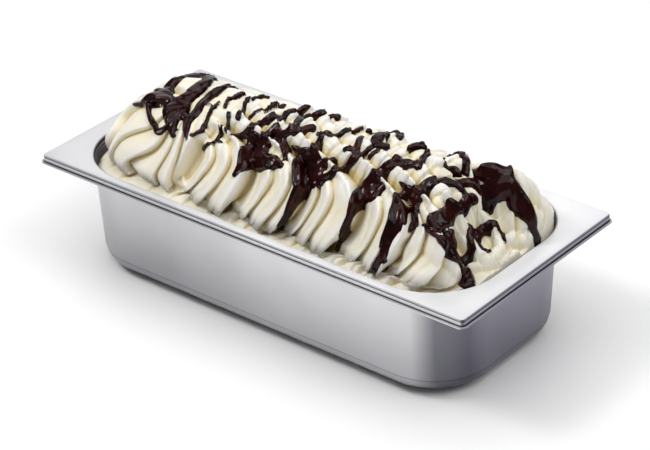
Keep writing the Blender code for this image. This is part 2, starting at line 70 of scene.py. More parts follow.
# Bend between the turned edge and the flange's flat, and where its middle lies
PLATE_BEND = 0.9
PLATE_BEND_MIDDLE = 0.3
END_FLANGE = 18.0
SIDE_FLANGE = 9.4
OPENING_CORNER = 45.5
RIM_RADIUS = 2.6
RIM_STEPS = 8
WALL_SLOPE = 0.05
LEDGE_HEIGHT = 14.0
LEDGE_INSET = 0.5
LEDGE_RISE = 1.2
BOTTOM_RADIUS = 18.0
BOTTOM_STEPS = 12
CORNER_STEPS = 24

# Filling below the rim
CLEARANCE = 0.3
FILL_DROP = 13.0

# Mound of gelato above the rim
SPINE_HALF = 96.0
# An end turns this far per radian, so that it takes as many columns as a side
END_SWEEP = 2 * SPINE_HALF / math.pi
WALL_GAP = 1.4
MOUND_FOOT = 22.0
FOOT_INSET = 6.0
REACH_STEPS = 24

# Ropes of gelato: the raised edge of each, higher on the near side, and the ridges along it
ROPE_HEIGHT = 7.0
NEAR_ROPE_HEIGHT = 4.5
ROPE_RIDGES = 3
RIDGE_HEIGHT = 4.6
TOP_RIDGE_HEIGHT = 0.5
# Share of a ridge's height that is left below the rim, and how round forms rise
BELOW_RIM = 0.30
RISE_POWER = 2.4
# Share of its width after which a form breaks off
ROPE_BREAK = 0.89
RIDGE_BREAK = 0.86
BROAD_BREAK = 0.92
NARROW_BREAK = 0.90
FRILL_BREAK = 0.78
SMALL_BREAK = 0.8
# Shares of the way out at which the crest turns into the side, and the mound reaches the rim
SIDE_START = (0.25, 0.40)
RIM_START = (0.90, 0.76)
# How deep the ropes sink into the plain mound, more on the near side and less at the swirl
SINK = 7.0
NEAR_SINK = 2.0
SWIRL_LIFT = 3.5
# Shares of the sink, and of the edges and ridges, that are taken away where the mound is calm
CALM_LIFT = 0.6
CALM_CUT = 0.9
# Frilled ridges on the crest
CREST_PITCH = 8.5
CREST_RIDGE_HEIGHT = 2.0
# Soft folds at the right end, fins by the near rim, fine ridges on ropes and hollows behind
FOLD_HEIGHT = 1.3
FOLD_COUNT = 5.2
FIN_HEIGHT = 4.5
FINS_PER_ROPE = 3
FINE_HEIGHT = 0.75
FINE_RIDGES = 2
HOLLOW_DEPTH = 5.0
# How far the forms lean along the pan and hang down, as shares of their height
EDGE_LEAN = 0.32
RIDGE_LEAN = 0.28
FRILL_LEAN = 0.25
RIDGE_DROOP = 0.5

# Swirl of gelato at the left end, with its broad and narrow ridges
SWIRL_X = -84.0
SWIRL_Y = -20.0
SWIRL_PETALS = 18
SWIRL_TWIST = 13.0
SWIRL_BROAD = 2.5
SWIRL_NARROW = 4.5

# How much less far the mound reaches at the left end, and how much farther at the far right
LEFT_GAP = 2.5
RIGHT_FILL = 9.0


def smooth_step(start, end, value):
    """0 at start, 1 at end and smooth between them."""
    t = np.clip((value - start) / (end - start), 0.0, 1.0)
    return t * t * (3.0 - 2.0 * t)


def fraction(value):
    """The part of a value after its whole number."""
    return value - np.floor(value)


def mix(start, end, share):
    """The value at a share of the way from start to end."""
    return start + (end - start) * share


def rounded_rectangle(half_length, half_width, corner, steps):
    """Points of a rounded rectangle, counter-clockwise."""
    points = []
    for quarter, (side_x, side_y) in enumerate(((1, 1), (-1, 1), (-1, -1), (1, -1))):
        for step in range(steps + 1):
            angle = math.pi / 2 * (quarter + step / steps)
            x = side_x * (half_length - corner) + corner * math.cos(angle)
            y = side_y * (half_width - corner) + corner * math.sin(angle)
            points.append((x, y))
    return points


def opening_size(height, inset=0.0):
    """Half length, half width and corner radius inside the wall at a height."""
    shift = WALL_SLOPE * (PAN_HEIGHT - RIM_RADIUS - height) + inset
    half_length = PAN_LENGTH / 2 - END_FLANGE - shift
    half_width = PAN_WIDTH / 2 - SIDE_FLANGE - shift
    return half_length, half_width, OPENING_CORNER - shift


def wall_sections(clearance):
    """Rings from the straight wall down to the floor, set in by a clearance."""
    rings = []
    for height, inset in ((LEDGE_HEIGHT + LEDGE_RISE, 0.0), (LEDGE_HEIGHT, LEDGE_INSET)):
        size = opening_size(height, inset + clearance)
        rings.append((*size, height))
    half_length, half_width, corner = opening_size(LEDGE_HEIGHT, LEDGE_INSET + clearance)
    floor = SHEET + clearance
    for step in range(1, BOTTOM_STEPS + 1):
        angle = math.pi / 2 * step / BOTTOM_STEPS
        inset = BOTTOM_RADIUS * (1 - math.cos(angle))
        height = floor + (LEDGE_HEIGHT - floor) * (1 - math.sin(angle))
        rings.append((half_length - inset, half_width - inset, corner - inset, height))
    return rings


def pan_sections():
    """Rings of the sheet's upper face from the lip over the rim to the floor."""
    half_length = PAN_LENGTH / 2
    half_width = PAN_WIDTH / 2
    top = PAN_HEIGHT
    rings = []
    # Inset and drop over the lip, up the turned edge and over its bend
    edge = (
        (0.0, LIP_DROP),
        (LIP_WIDTH - LIP_BEND, LIP_DROP - LIP_BEND_START),
        (LIP_WIDTH, LIP_DROP - LIP_BEND_RISE),
        (LIP_WIDTH, PLATE_BEND),
        (LIP_WIDTH + PLATE_BEND_MIDDLE * PLATE_BEND, PLATE_BEND_MIDDLE * PLATE_BEND),
        (LIP_WIDTH + PLATE_BEND, 0.0),
    )
    for inset, drop in edge:
        rings.append((half_length - inset, half_width - inset, LIP_CORNER - inset, top - drop))
    opening = opening_size(top - RIM_RADIUS)
    for step in range(RIM_STEPS + 1):
        angle = math.pi / 2 * step / RIM_STEPS
        out = RIM_RADIUS * (1 - math.sin(angle))
        drop = RIM_RADIUS * (1 - math.cos(angle))
        rings.append((opening[0] + out, opening[1] + out, opening[2] + out, top - drop))
    return rings + wall_sections(0.0)


def ring_loft(name, sections, closed_top):
    """A skin over rounded rectangles, closed at the last one, and at the first if closed_top."""
    mesh = bmesh.new()
    rings = []
    for half_length, half_width, corner, height in sections:
        outline = rounded_rectangle(half_length, half_width, corner, CORNER_STEPS)
        rings.append([mesh.verts.new((x * MM, y * MM, height * MM)) for x, y in outline])
    count = len(rings[0])
    for upper, lower in zip(rings, rings[1:]):
        for i in range(count):
            j = (i + 1) % count
            mesh.faces.new((upper[i], lower[i], lower[j], upper[j]))
    mesh.faces.new(tuple(reversed(rings[-1])))
    if closed_top:
        mesh.faces.new(rings[0])
    data = bpy.data.meshes.new(name)
    mesh.to_mesh(data)
    mesh.free()
    return bpy.data.objects.new(name, data)


# Distance out from the spine, and height, as shares of the whole, from the spine to the wall
NEAR_PATH = (
    (0.0, 1.0), (0.15, 1.02), (0.30, 0.99), (0.44, 0.90), (0.55, 0.76), (0.64, 0.58),
    (0.715, 0.41), (0.785, 0.26), (0.83, 0.12), (0.82, 0.02), (0.80, -0.06), (0.85, -0.12),
    (0.94, -0.17), (0.985, -0.26),
)
FAR_PATH = (
    (0.0, 1.0), (0.11, 0.93), (0.22, 0.81), (0.34, 0.67), (0.46, 0.53), (0.58, 0.40),
    (0.69, 0.28), (0.79, 0.18), (0.87, 0.09), (0.92, 0.02), (0.94, -0.04), (0.95, -0.11),
    (0.965, -0.18), (0.985, -0.26),
)
END_PATH = (
    (0.0, 1.0), (0.15, 0.99), (0.30, 0.96), (0.45, 0.90), (0.58, 0.81), (0.69, 0.69),
    (0.78, 0.55), (0.86, 0.40), (0.90, 0.25), (0.91, 0.11), (0.90, -0.01), (0.90, -0.13),
    (0.925, -0.21), (0.96, -0.26),
)
APRON_PATH = (
    (0.0, 1.0), (0.13, 0.98), (0.26, 0.91), (0.38, 0.79), (0.49, 0.63), (0.58, 0.46),
    (0.66, 0.31), (0.74, 0.20), (0.81, 0.11), (0.88, 0.05), (0.94, 0.01), (0.975, -0.04),
    (0.985, -0.12), (0.985, -0.26),
)
# Height of the mound over the rim along the pan
CREST = (
    (-165, 38), (-130, 40), (-100, 42), (-60, 44), (-25, 48),
    (0, 50), (60, 52), (110, 51), (140, 50), (165, 47),
)
# Where each rope's raised edge crosses the near shoulder
ROPE_EDGES = (-65, -20, 25, 69, 113, 150, 190, 235, 280, 325, 370, 415, 460)
# How far along the pan a rope has moved at even shares of the way out, near and far
NEAR_SWING = (-142, -105, -66, -33, -10, 0, 1, -1, -5, -10, -14, -17, -20, -22)
FAR_SWING = (-142, -162, -182, -201, -218, -231, -240, -246, -250, -253, -255, -256, -257, -258)

# Chocolate runs: (x, unrolled y, width) along each
RUNS = (
    ((-104, 11, 3), (-107, 9, 4), (-108, 6, 4), (-110, 4, 4), (-111, -1, 5), (-112, -4, 6),
     (-109, -9, 9)),
    ((-109, -9, 9), (-107, -13, 13), (-109, -15, 9), (-111, -16, 4), (-108, -20, 3),
     (-106, -22, 3)),
    ((-111, -16, 3), (-114, -17, 2), (-119, -17, 2)),
    ((-106, -22, 3), (-103, -24, 4), (-100, -26, 4), (-98, -27, 5), (-96, -25, 3), (-94, -23, 4)),
    ((-104, 11, 5), (-102, 6, 6), (-99, 1, 6), (-97, -5, 8), (-97, -10, 8), (-98, -13, 10),
     (-97, -17, 11)),
    ((-97, -17, 11), (-95, -20, 11), (-91, -24, 8), (-87, -27, 2)),
    ((-90, 13, 5), (-88, 6, 6), (-88, 1, 7), (-88, -3, 6), (-87, -6, 6), (-86, -10, 7),
     (-84, -13, 8)),
    ((-84, -13, 8), (-84, -16, 8), (-83, -20, 7), (-79, -23, 6), (-75, -26, 2)),
    ((-93, -11, 2), (-93, -14, 7), (-92, -17, 8), (-86, -18, 7)),
    ((-87, -6, 2), (-83, -8, 2), (-77, -9, 2), (-74, -10, 3), (-72, -13, 3), (-70, -16, 3),
     (-69, -21, 3), (-73, -24, 3)),
    ((-64, 0, 3), (-69, -3, 3)),
    ((-48, 3, 3), (-51, -3, 3)),
    ((-56, -3, 3), (-51, -8, 3), (-48, -13, 4)),
    ((-72, -3, 2), (-67, -8, 3)),
    ((-75, -6, 2), (-73, -10, 3)),
    ((-57, -12, 3), (-50, -19, 3)),
    ((-56, -17, 3), (-55, -23, 3), (-60, -25, 3), (-64, -27, 5)),
    ((-55, -23, 3), (-50, -23, 2)),
    ((-43, -10, 3), (-39, -6, 2), (-37, -2, 2), (-34, 4, 2)),
    ((-22, -8, 6), (-26, -11, 7), (-32, -12, 6), (-34, -16, 7), (-41, -18, 5)),
    ((-19, -5, 5), (-18, -9, 5)),
    ((-17, -4, 3), (-15, -1, 5), (-14, 3, 3)),
    ((3, 0, 6), (6, 4, 8), (10, 4, 5)),
    ((4, -1, 6), (-3, -2, 11), (-8, -3, 9), (-6, -7, 8), (-4, -11, 7)),
    ((8, -8, 5), (0, -12, 9), (-6, -14, 7), (-12, -16, 5)),
    ((-45, -19, 4), (-37, -17, 6), (-31, -18, 8), (-24, -19, 10), (-17, -19, 8)),
    ((-31, -19, 7), (-26, -25, 10), (-24, -29, 8), (-27, -33, 3)),
    ((-24, -27, 10), (-14, -26, 15), (-5, -25, 12), (4, -25, 5)),
    ((4, -22, 5), (-2, -18, 6), (-9, -15, 6), (-17, -12, 6), (-20, -16, 8), (-18, -24, 12)),
    ((3, -17, 3), (10, -18, 8), (16, -19, 12), (23, -19, 14), (28, -23, 16), (30, -26, 12)),
    ((21, -12, 5), (22, -17, 8)),
    ((37, -17, 5), (32, -20, 7), (28, -24, 9)),
    ((54, -15, 3), (49, -18, 5), (43, -22, 7), (36, -26, 8), (30, -26, 9)),
    ((12, -20, 7), (16, -24, 7), (21, -28, 8)),
    ((27, -27, 12), (24, -32, 8), (22, -39, 4), (16, -48, 4), (11, -56, 4)),
    ((16, -10, 4), (20, -9, 5), (24, -10, 4), (30, -7, 4), (33, -4, 3), (37, 0, 2)),
    ((46, -7, 5), (49, -12, 6), (43, -13, 5)),
    ((41, 0, 4), (44, 5, 8), (52, 7, 10), (60, 5, 7), (63, 3, 4)),
    ((53, 1, 9), (54, -4, 9), (56, -6, 8), (64, -5, 5)),
    ((52, -12, 4), (50, -17, 5), (46, -20, 5)),
    ((58, -8, 3), (54, -14, 4)),
    ((64, -9, 3), (61, -12, 4)),
    ((81, -11, 7), (76, -15, 9), (72, -19, 12), (70, -22, 16), (69, -27, 10), (68, -33, 4),
     (62, -50, 4), (60, -56, 3)),
    ((80, -20, 5), (77, -24, 9), (72, -26, 8)),
    ((77, -9, 5), (83, -10, 10), (88, -9, 9), (96, -10, 4)),
    ((79, -3, 4), (84, 1, 7), (90, 3, 4)),
    ((90, 0, 5), (92, -4, 6), (95, -9, 5)),
    ((97, 8, 3), (102, 5, 5), (108, 2, 3)),
    ((103, -3, 5), (106, 0, 5)),
    ((105, -9, 3), (103, -13, 5), (102, -17, 7), (98, -19, 6), (94, -22, 4)),
    ((105, -10, 3), (108, -7, 6), (112, -6, 3)),
    ((112, 3, 3), (111, 0, 4), (109, -4, 3)),
    ((91, -17, 2), (97, -18, 6), (101, -20, 6), (103, -23, 4), (106, -27, 4), (107, -31, 3)),
    ((94, -22, 5), (98, -25, 8), (100, -29, 9), (99, -35, 6), (100, -42, 5), (96, -47, 4),
     (92, -53, 3)),
    ((116, -2, 4), (115, -6, 6)),
    ((115, -6, 5), (117, -10, 5), (117, -15, 7), (115, -20, 8), (113, -24, 7), (114, -28, 5)),
    ((111, 5, 6), (113, 8, 14), (116, 9, 16), (119, 9, 12), (118, 4, 12), (114, 2, 8)),
    ((121, 10, 8), (126, 10, 10), (131, 12, 10), (134, 13, 8), (139, 14, 6), (143, 16, 7),
     (149, 19, 10), (156, 21, 7)),
    ((127, -5, 3), (129, -3, 4), (131, 1, 4), (134, 2, 4), (139, -1, 3)),
    ((127, -5, 4), (127, -8, 5), (131, -14, 4), (137, -16, 6), (139, -13, 5)),
    ((127, -6, 3), (125, -11, 4), (130, -18, 4), (133, -20, 5), (132, -26, 6)),
    ((111, -27, 3), (115, -30, 4), (118, -30, 4), (121, -31, 4), (126, -33, 5), (129, -31, 8)),
    ((120, -24, 7), (122, -30, 10), (127, -31, 14), (132, -30, 15), (137, -30, 13),
     (143, -33, 10)),
    ((143, -33, 10), (148, -39, 13), (154, -38, 8)),
)
RUN_HEIGHT = 2.0
# How much longer a step across the pan counts than one along it, when a run's width is measured
ACROSS_STRETCH = 2.0

# Hump, curl, rolls and folds at the right end: rise, then (x, y, width) along each
ROLLS = (
    (3, ((123, 18, 8), (131, 20, 24), (138, 23, 20))),
    (6, ((125, 12, 5), (131, 17, 8), (138, 22, 8))),
    (4, ((129, 3, 4), (134, 8, 6), (141, 13, 7), (148, 18, 5))),
    (12, ((138, 25, 8), (144, 29, 17), (150, 34, 12))),
    (7, ((140, 42, 12), (150, 40, 15), (158, 35, 8))),
    (8, ((137, -20, 7), (144, -24, 9), (151, -25, 9), (155, -18, 9), (154, -8, 8), (149, -2, 8),
         (142, 0, 7), (137, -4, 6))),
    (7, ((139, 10, 7), (142, 17, 9), (147, 21, 9), (154, 22, 7))),
    (6, ((143, 4, 6), (146, 11, 8), (151, 15, 8), (158, 16, 6))),
    (6, ((150, 1, 6), (152, 8, 7), (156, 12, 6))),
    (4, ((150, -34, 4), (156, -22, 5), (158, -12, 5), (159, 2, 5))),
    (8, ((124, -26, 7), (131, -24, 9), (136, -24, 9), (141, -27, 6))),
    (6, ((113, -56, 6), (117, -52, 7), (124, -50, 8), (132, -49, 9), (138, -47, 8), (143, -46, 6),
         (147, -46, 4))),
)


def table(rows, value):
    """The second number of a table's rows, read where the first has a value."""
    rows = np.array(rows, float)
    return np.interp(value, rows[:, 0], rows[:, 1])


def smooth_path(path, share):
    """A smooth curve through evenly spaced points, read at shares from 0 to 1."""
    points = np.array(path, float)
    last = len(points) - 1
    place = np.clip(share, 0.0, 1.0) * last
    index = np.clip(np.floor(place).astype(int), 0, last - 1)
    t = (place - index).reshape(place.shape + (1,) * (points.ndim - 1))
    before = points[np.maximum(index - 1, 0)]
    start = points[index]
    end = points[index + 1]
    after = points[np.minimum(index + 2, last)]
    linear = end - before
    square = 2 * before - 5 * start + 4 * end - after
    cube = 3 * start - before - 3 * end + after
    return start + 0.5 * t * (linear + t * (square + t * cube))


def spine_rays(share):
    """Start on the spine and direction of a ray at each share of the way round the mound."""
    straight = 2 * SPINE_HALF
    sweep = math.pi * END_SWEEP
    along = share * 2 * (straight + sweep)
    second = along - straight - sweep
    back = second >= 0
    local = np.where(back, second, along)
    turning = local > straight
    angle = np.where(turning, (local - straight) / END_SWEEP, 0.0) - math.pi / 2
    start = np.minimum(local, straight) - SPINE_HALF
    flip = np.where(back, -1.0, 1.0)
    return flip * start, flip * np.cos(angle), flip * np.sin(angle)


def wall_distance(x, y, gap):
    """Distance out of the opening's outline, set in by a gap, and the outward direction there."""
    half_length, half_width, corner = opening_size(PAN_HEIGHT - RIM_RADIUS, gap)
    over_x = np.abs(x) - (half_length - corner)
    over_y = np.abs(y) - (half_width - corner)
    in_corner = (over_x > 0) & (over_y > 0)
    length = np.maximum(np.hypot(over_x, over_y), 1e-6)
    distance = np.where(in_corner, length, np.maximum(over_x, over_y)) - corner
    end_on = over_x > over_y
    out_x = np.where(in_corner, over_x / length, end_on * 1.0) * np.sign(x)
    out_y = np.where(in_corner, over_y / length, ~end_on * 1.0) * np.sign(y)
    return distance, out_x, out_y


def ray_reach(start, ray_x, ray_y):
    """Distance along each ray from the spine to the wall."""
    low = np.zeros_like(start)
    high = np.full_like(start, PAN_LENGTH)
    for _ in range(REACH_STEPS):
        middle = (low + high) / 2
        inside = wall_distance(start + ray_x * middle, ray_y * middle, 0.0)[0] < 0
        low = np.where(inside, middle, low)
        high = np.where(inside, high, middle)
    return low


def scale_shape(phase, edge):
    """A rounded rise that breaks off sharply after the edge."""
    rise = 1 - (1 - np.minimum(phase / edge, 1)) ** RISE_POWER
    return rise * (1 - smooth_step(edge, 1.0, phase))


def bell(value, middle, width):
    """1 at the middle, falling off over a width to both sides."""
    return np.exp(-(((value - middle) / width) ** 2))


def right_front(ray_x, ray_y):
    """1 on the low apron at the right end, fading out towards the near side and the back."""
    return smooth_step(-0.85, -0.55, ray_y) * (1 - smooth_step(0.12, 0.42, ray_y)) * (ray_x > 0)


def rope_place(x, share, ray_y, wobble):
    """How many ropes lie before a place, with the part of its own rope."""
    across = share * np.abs(ray_y)
    swing = np.where(ray_y < 0, smooth_path(NEAR_SWING, across), smooth_path(FAR_SWING, across))
    return np.interp(x - swing + wobble, ROPE_EDGES, np.arange(len(ROPE_EDGES)))


def fading(above_rim):
    """Share of a ridge's height, less below the rim."""
    return BELOW_RIM + (1 - BELOW_RIM) * above_rim


def swirl_ridges(x, y, above_rim, swell, wobble):
    """Heights of the broad and the narrow ridges that fan out from the swirl."""
    from_swirl = np.hypot(x - SWIRL_X, y - SWIRL_Y)
    turn = np.arctan2(y - SWIRL_Y, x - SWIRL_X) / (2 * math.pi)
    twist = from_swirl / SWIRL_TWIST * smooth_step(-15, 25, y)
    petal = SWIRL_PETALS * turn + twist + 0.15 * wobble
    grown = smooth_step(6, 34, from_swirl)
    broad = SWIRL_BROAD * above_rim * grown * scale_shape(fraction(petal / 2), BROAD_BREAK)
    narrow = SWIRL_NARROW * fading(above_rim) * grown
    narrow = narrow * scale_shape(fraction(petal), NARROW_BREAK) * swell
    return broad, narrow


def relief(x, y, share, ray_y, near, apron):
    """Height of the piped forms over the plain mound, their lean along the pan and their droop."""
    wobble = 1.5 * np.sin(0.11 * x + 0.07 * y) + 1.2 * np.sin(0.19 * y + 1.0)
    rope = rope_place(x, share, ray_y, wobble)
    in_rope = fraction(rope)
    swirl_line = ROPE_EDGES[0] + 0.62 * (y + 45) + 6 * np.sin(0.05 * y)
    left = smooth_step(3.5, -3.5, x + wobble - swirl_line)
    on_side = smooth_step(*SIDE_START, share)
    side_near = on_side * near
    above_rim = smooth_step(*RIM_START, share)
    swell = 1 + 0.35 * bell(share, 0.55, 0.10) * near
    # Calm where other forms take over: on the apron and at the right end's hump, curl and rolls
    calm = apron * smooth_step(0.15, 0.45, share)
    calm = np.maximum(calm, 0.85 * smooth_step(120, 136, x) * smooth_step(-42, -28, y))
    # Raised edges and ridges of the ropes, or of the swirl at the left end
    ripple = 1 + 0.25 * np.sin(0.26 * x - 0.10 * y) * (1 - on_side)
    edge = (ROPE_HEIGHT + NEAR_ROPE_HEIGHT * side_near) * above_rim
    edge = edge * scale_shape(in_rope, ROPE_BREAK) * ripple
    ridge_phase = fraction(rope * ROPE_RIDGES + 0.3 * np.sin(math.pi * rope))
    ridge = (RIDGE_HEIGHT * on_side + TOP_RIDGE_HEIGHT) * fading(above_rim) * swell
    ridge *= scale_shape(ridge_phase, RIDGE_BREAK)
    left_edge, left_ridge = swirl_ridges(x, y, above_rim, swell, wobble)
    edge = mix(edge, left_edge, left) * (1 - CALM_CUT * calm)
    ridge = mix(ridge, left_ridge, left) * (1 - CALM_CUT * calm)
    # Smaller forms
    lumps = np.sin(0.17 * x + 0.11 * y + 0.6) * np.sin(0.15 * y - 0.08 * x + 1.9) * above_rim
    frill_phase = fraction((x - 0.35 * y) / CREST_PITCH + 0.37 * np.floor(rope))
    frill = CREST_RIDGE_HEIGHT * (1 - on_side) * (1 - left) * (1 - calm)
    frill *= scale_shape(frill_phase, FRILL_BREAK)
    fins = FIN_HEIGHT * bell(share, 0.865, 0.06) * near * smooth_step(20, 70, x)
    fins *= scale_shape(fraction(rope * FINS_PER_ROPE + 0.4), SMALL_BREAK)
    fold_phase = fraction(share * FOLD_COUNT + 0.012 * y + 0.3 * np.sin(0.09 * y))
    folds = FOLD_HEIGHT * calm * above_rim * scale_shape(fold_phase, SMALL_BREAK)
    fine_phase = fraction(ridge_phase * FINE_RIDGES + 0.15 * np.sin(0.3 * y + 0.2 * x))
    fine = FINE_HEIGHT * on_side * near * above_rim * (1 - calm) * (1 - left)
    fine *= scale_shape(fine_phase, SMALL_BREAK)
    # Hollows behind the ropes, and the sink of all of it into the mound
    behind = bell(share, 0.275, 0.055) * near
    behind = behind * (1 - smooth_step(0.66, 0.86, in_rope)) * (1 - apron)
    hollow = HOLLOW_DEPTH * behind * (1 - left) * smooth_step(122, 114, x)
    sunk = SINK + NEAR_SINK * side_near - (SWIRL_LIFT + SWIRL_LIFT * side_near) * left
    sunk = sunk * (1 - CALM_LIFT * calm)
    raised = edge + ridge + fine + frill + folds + fins + lumps - hollow - sunk * above_rim
    lean = (EDGE_LEAN * edge + RIDGE_LEAN * ridge + FRILL_LEAN * frill) * above_rim
    droop = RIDGE_DROOP * ridge * bell(share, 0.56, 0.09) * near
    return raised, lean, droop


def run_depth(x, y, run, stretch):
    """How far inside a run a place is: 1 on its middle line, 0 at its edge and less outside."""
    depth = np.full_like(x, -1.0)
    for (x0, y0, w0), (x1, y1, w1) in zip(run, run[1:]):
        step_x = x1 - x0
        step_y = (y1 - y0) * stretch
        off_x = x - x0
        off_y = (y - y0) * stretch
        along = np.clip((off_x * step_x + off_y * step_y) / (step_x**2 + step_y**2), 0.0, 1.0)
        distance = np.hypot(off_x - along * step_x, off_y - along * step_y)
        half = (w0 + (w1 - w0) * along) / 2
        depth = np.maximum(depth, 1 - distance / half)
    return depth


def run_cover(x, y):
    """How far inside the chocolate an unrolled place is."""
    cover = np.full_like(x, -1.0)
    for run in RUNS:
        cover = np.maximum(cover, run_depth(x, y, run, ACROSS_STRETCH))
    return cover


def features(x, y):
    """Height of the hump, the curl and the rolls at a place."""
    height = np.zeros_like(x)
    for rise, run in ROLLS:
        depth = np.clip(run_depth(x, y, run, 1.0), 0.0, 1.0)
        height = np.maximum(height, rise * np.sqrt(depth * (2 - depth)))
    return height


def unit(vectors):
    """Vectors brought to length 1."""
    length = np.linalg.norm(vectors, axis=-1, keepdims=True)
    return vectors / np.maximum(length, 1e-9)


def grid_normals(points):
    """Outward normals of a grid that is closed round its columns, upright on the spine."""
    outward = np.gradient(points, axis=1)
    around = np.roll(points, -1, 0) - np.roll(points, 1, 0)
    normal = unit(np.cross(outward, around))
    normal[:, 0] = (0.0, 0.0, 1.0)
    return normal


def keep_inside(points, gap):
    """Move points past the opening's outline, set in by a gap, back onto it."""
    over, out_x, out_y = wall_distance(points[..., 0], points[..., 1], gap)
    over = np.maximum(over, 0.0)
    points[..., 0] -= out_x * over
    points[..., 1] -= out_y * over


def mound_grid(columns, rows):
    """Points of the mound's skin, from the spine outwards along the rows, and their cover."""
    share_round, share_out = np.meshgrid(
        np.arange(columns) / columns, np.linspace(0.0, 1.0, rows), indexing="ij"
    )
    start, ray_x, ray_y = spine_rays(share_round)
    reach = ray_reach(start, ray_x, ray_y)
    near = smooth_step(0.25, -0.35, ray_y)
    apron = right_front(ray_x, ray_y)
    path = smooth_path(NEAR_PATH, share_out) * near[..., None]
    path += smooth_path(FAR_PATH, share_out) * (1 - near[..., None])
    path = mix(path, smooth_path(END_PATH, share_out), (ray_x**2)[..., None])
    path = mix(path, smooth_path(APRON_PATH, share_out), apron[..., None])
    flat_x = start + ray_x * share_out * reach
    flat_y = ray_y * share_out * reach
    far_right = smooth_step(0.1, 0.5, ray_y) * np.maximum(ray_x, 0.0)
    out = path[..., 0] * (reach - LEFT_GAP * np.minimum(ray_x, 0.0) ** 2 + RIGHT_FILL * far_right)
    rise = PAN_HEIGHT + path[..., 1] * table(CREST, flat_x)
    plain = np.stack([start + ray_x * out, ray_y * out, rise], -1)
    x, y = plain[..., 0], plain[..., 1]
    raised, lean, droop = relief(x, y, share_out, ray_y, near, apron)
    cover = run_cover(flat_x, flat_y)
    raised = raised + RUN_HEIGHT * smooth_step(0.0, 0.6, cover)
    points = plain + grid_normals(plain) * raised[..., None]
    points[..., 0] += lean
    points[..., 2] += features(x, y) * smooth_step(0.99, 0.95, share_out) - droop
    keep_inside(points, WALL_GAP)
    return points, cover


# Grid of the finer skins
SKIN_COLUMNS = 1420
SKIN_ROWS = 138

# Depth below the top of the solids over which heights are eased
TOP_EASE = 3.0

# Widths of blurs in columns and rows: the bed near its edge, its middle, and the hollows that take
# painted shade
LEVEL_BLUR = (3.0, 2.5)
FILLED_BLUR = (7.0, 5.0)
HOLLOW_SHADE_BLUR = (5.0, 5.0)

# Chocolate: how much of its bed is filled level, on the mound and from the hump on
FILLED_SHARE = 0.8
HUMP_FILLED_SHARE = 0.3
HUMP_START = (120.0, 128.0)
# How much of the ridges below shows through, at its edge and where it is widest
EDGE_RIDGES = 0.5
WIDE_RIDGES = 0.15
# Depth of the coat, its offset below the bed and the extra depth of its tucked edge
COAT_DEPTH = 1.7
COAT_OFFSET = 0.5
EDGE_TUCK = 0.7
# How far the gelato sinks under the coat, and the least cover that the coat reaches to
GELATO_SINK = 1.2
LEAST_COVER = -0.25
# Covers from which and up to which each of these grows
LEVEL_COVER = (-0.2, 0.3)
FILLED_COVER = (0.0, 0.9)
NORMAL_COVER = (-0.1, 0.3)
SINK_COVER = (0.05, 0.5)
DEPTH_COVER = (-0.05, 0.6)
TUCK_COVER = (-0.05, -0.2)
WIDE_COVER = (0.3, 1.0)

# Angle between faces of the pan, in degrees, from which an edge is sharp
SHARP_ANGLE = 32.0

# Steel: painted shade and reflections along the height, on faces that turn to +X and along the pan
# Painted shade along the height: darker towards the floor, with dark painted shadow lines at the
# ledge and at both folds of the flange's edge
HEIGHT_PAINTED_SHADE = (
    (0.000, (0.42, 0.42, 0.44)),
    (0.150, (0.64, 0.64, 0.66)),
    (0.160, (0.38, 0.38, 0.40)),
    (0.170, (0.70, 0.70, 0.72)),
    (0.800, (0.92, 0.92, 0.92)),
    (0.935, (0.86, 0.86, 0.86)),
    (0.940, (0.12, 0.12, 0.13)),
    (0.948, (0.14, 0.14, 0.15)),
    (0.953, (0.80, 0.80, 0.82)),
    (0.974, (0.90, 0.90, 0.91)),
    (0.978, (0.10, 0.10, 0.11)),
    (0.984, (0.12, 0.12, 0.13)),
    (0.990, (1.00, 1.00, 1.00)),
)
# Painted reflection: faces turned to +X darker and mauve, as if they mirrored shaded floor
TURN_PAINTED_SHADE = (
    (0.00, (1.0, 1.0, 1.0)),
    (0.30, (0.95, 0.95, 0.95)),
    (0.60, (0.30, 0.30, 0.33)),
    (0.90, (0.26, 0.25, 0.30)),
    (1.00, (0.45, 0.43, 0.51)),
)
# Painted shade along the pan: darker towards the left end
LENGTH_PAINTED_SHADE = (
    (0.0, (0.76, 0.76, 0.77)),
    (0.3, (0.76, 0.76, 0.77)),
    (0.5, (0.96, 0.96, 0.96)),
    (0.8, (1.0, 1.0, 1.0)),
)
# The steel's own colours and roughness, the stretch of its brushing, and how metallic faces are
STEEL_COLORS = ((0.3, (0.69, 0.69, 0.705)), (0.7, (0.77, 0.77, 0.785)))
STEEL_ROUGHNESS = (0.24, 0.40)
BRUSH_STRETCH = (900.0, 900.0, 12.0)
UPRIGHT_METALLIC = 1.0
FLAT_METALLIC = 0.12
FLAT_START = 0.6

# Gelato: colours from its ridges to its hollows, darker and yellower in the hollows as painted
# shade, the depths of these, and its roughness
GELATO_TONE_AND_HOLLOW_SHADE = (
    (0.25, (0.80, 0.78, 0.73)),
    (0.50, (0.80, 0.76, 0.65)),
    (0.75, (0.81, 0.74, 0.54)),
    (1.00, (0.70, 0.58, 0.32)),
)
HOLLOW_SHADE_RANGE = (-2.5, 3.0)
CLOUD_SHARE = 0.25
GELATO_ROUGHNESS = (0.32, 0.5)

# Chocolate and floor: darkest and palest colours
CHOCOLATE_COLORS = ((0.30, (0.004, 0.0004, 0.0004)), (0.70, (0.028, 0.0026, 0.0026)))
CHOCOLATE_ROUGHNESS = (0.05, 0.11)
FLOOR_COLORS = ((0.3, (0.90, 0.90, 0.90)), (0.7, (0.93, 0.93, 0.93)))

# Camera in millimetres and degrees
CAMERA_TARGET = (14.236, -11.866, 60.0)
CAMERA_AZIMUTH = 40.2
CAMERA_ELEVATION = 30.162
CAMERA_ROLL = -2.005
CAMERA_DISTANCE = 1640.7
CAMERA_LENS = 137.14
SENSOR_WIDTH = 36.0

